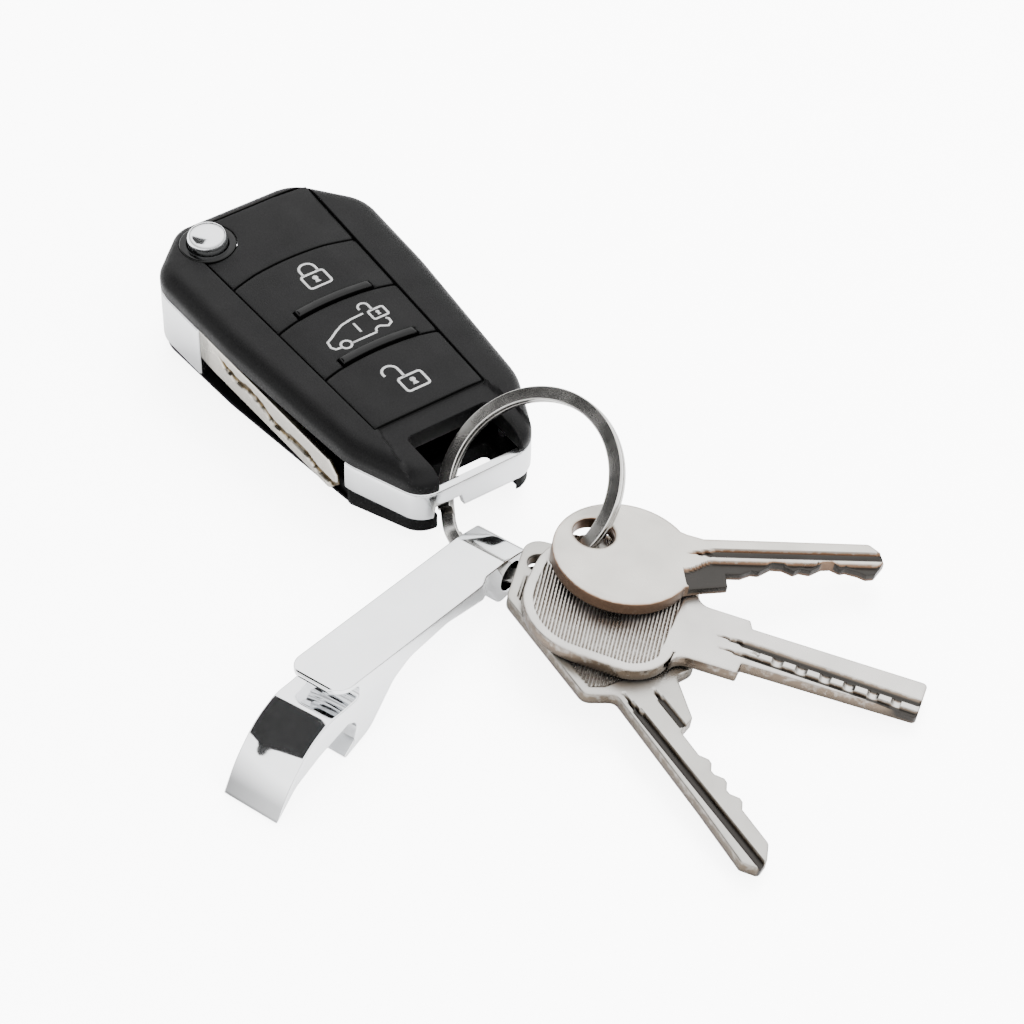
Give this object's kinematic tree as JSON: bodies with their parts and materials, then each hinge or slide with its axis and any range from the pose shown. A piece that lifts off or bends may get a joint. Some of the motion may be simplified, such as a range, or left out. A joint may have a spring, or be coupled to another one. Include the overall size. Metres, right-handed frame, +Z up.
{
  "type": "key organiser",
  "caption": "Pocket key organiser: a split ring carrying a belt clip with bottle opener, a flip-key car remote with buttons and folding blade, and cylinder-lock keys.",
  "frame": {"origin": "on the table under the middle of the assembly's box", "axes": "+X across to the key tips, +Y away from the user towards the remote's hinge end, +Z up off the table"},
  "size_m": [0.1258, 0.1446, 0.0231],
  "materials": {
    "ring_steel": "nickel-plated spring steel, ground flat faces with fine scratches",
    "clip_chrome": "mirror chrome plating on a zinc die casting",
    "nickel_silver_worn": "worn nickel-plated brass with warm brown edges",
    "nickel_silver_bright": "nickel-plated brass, ribbed head, fine scratches",
    "nickel_silver_dull": "dull nickel-plated brass with dark recesses",
    "soft_touch_black": "charcoal moulded plastic with a fine spark-eroded grain",
    "moulded_black": "black moulded plastic with a coarser grain",
    "plate_black": "charcoal moulded plastic with a fine grain",
    "button_black": "charcoal moulded plastic with printed pale grey line symbols",
    "band_chrome": "satin-bright chrome on plastic",
    "gloss_black": "polished black plastic",
    "release_chrome": "domed satin chrome with small marks",
    "blade_steel": "milled blade steel with a warm tint in the grooves",
    "pin_steel": "zinc-plated steel",
    "board_green": "green solder mask",
    "cell_steel": "stamped stainless steel can",
    "contact_brass": "tinned spring brass",
    "switch_metal": "stamped metal frames",
    "membrane_rubber": "moulded silicone rubber"
  },
  "bodies": {
    "ring": {"split_ring": "ring_steel"},
    "clip": {"clip_opener": "clip_chrome"},
    "round_key": {"round_key": "nickel_silver_worn"},
    "ribbed_key": {"ribbed_key": "nickel_silver_bright"},
    "pointed_key": {"pointed_key": "nickel_silver_dull"},
    "remote": {"upper_cover": "soft_touch_black", "lower_cover": "moulded_black", "chrome_band": "band_chrome", "top_plate": "plate_black", "button_dividers": "gloss_black", "release_collar": "gloss_black", "circuit_board": "board_green", "coin_cell": "cell_steel", "battery_contacts": "contact_brass", "micro_switches": "switch_metal", "transponder_chip": "gloss_black", "button_membrane": "membrane_rubber", "case_screws": "pin_steel", "battery_hatch": "moulded_black"},
    "blade": {"blade_head": "band_chrome", "flip_blade": "blade_steel", "blade_pin": "pin_steel", "hinge_spring": "pin_steel"},
    "release": {"release_button": "release_chrome"},
    "lock": {"lock_button": "button_black"},
    "boot": {"boot_button": "button_black"},
    "unlock": {"unlock_button": "button_black"}
  },
  "joints": [
    {"name": "remote_swing", "type": "hinge", "parent": "ring", "child": "remote", "pos_m": [-0.00859, 0.00359, 0.00935], "axis": [-0.8231, -0.5678, 0], "range_deg": [-2, 3]},
    {"name": "clip_swing", "type": "hinge", "parent": "ring", "child": "clip", "pos_m": [-0.00572, -0.00969, 0.0037], "axis": [0.8028, -0.5962, 0], "range_deg": [-3, 50]},
    {"name": "round_key_fan", "type": "hinge", "parent": "ring", "child": "round_key", "pos_m": [0.01018, -0.01301, 0.01159], "axis": [0.1509, 0.0178, 0.9884], "range_deg": [-15, 28]},
    {"name": "ribbed_key_fan", "type": "hinge", "parent": "ring", "child": "ribbed_key", "pos_m": [0.00723, -0.01429, 0.00908], "axis": [0.1235, -0.0126, 0.9923], "range_deg": [-15, 10]},
    {"name": "pointed_key_fan", "type": "hinge", "parent": "ring", "child": "pointed_key", "pos_m": [0.00311, -0.01462, 0.00717], "axis": [0.1298, -0.0185, 0.9914], "range_deg": [-8, 8]},
    {"name": "blade_flip", "type": "hinge", "parent": "remote", "child": "blade", "pos_m": [-0.0547, 0.05494, 0.0087], "axis": [0.0178, -0.0259, 0.9995], "range_deg": [-180, 0]},
    {"name": "release_press", "type": "slide", "parent": "remote", "child": "release", "axis": [-0.0178, 0.0259, -0.9995], "range_m": [0, 0.0022], "stiffness_N_per_m": 400},
    {"name": "lock_press", "type": "slide", "parent": "remote", "child": "lock", "axis": [-0.0178, 0.0259, -0.9995], "range_m": [0, 0.0006], "stiffness_N_per_m": 800},
    {"name": "boot_press", "type": "slide", "parent": "remote", "child": "boot", "axis": [-0.0178, 0.0259, -0.9995], "range_m": [0, 0.0006], "stiffness_N_per_m": 800},
    {"name": "unlock_press", "type": "slide", "parent": "remote", "child": "unlock", "axis": [-0.0178, 0.0259, -0.9995], "range_m": [0, 0.0006], "stiffness_N_per_m": 800}
  ]
}
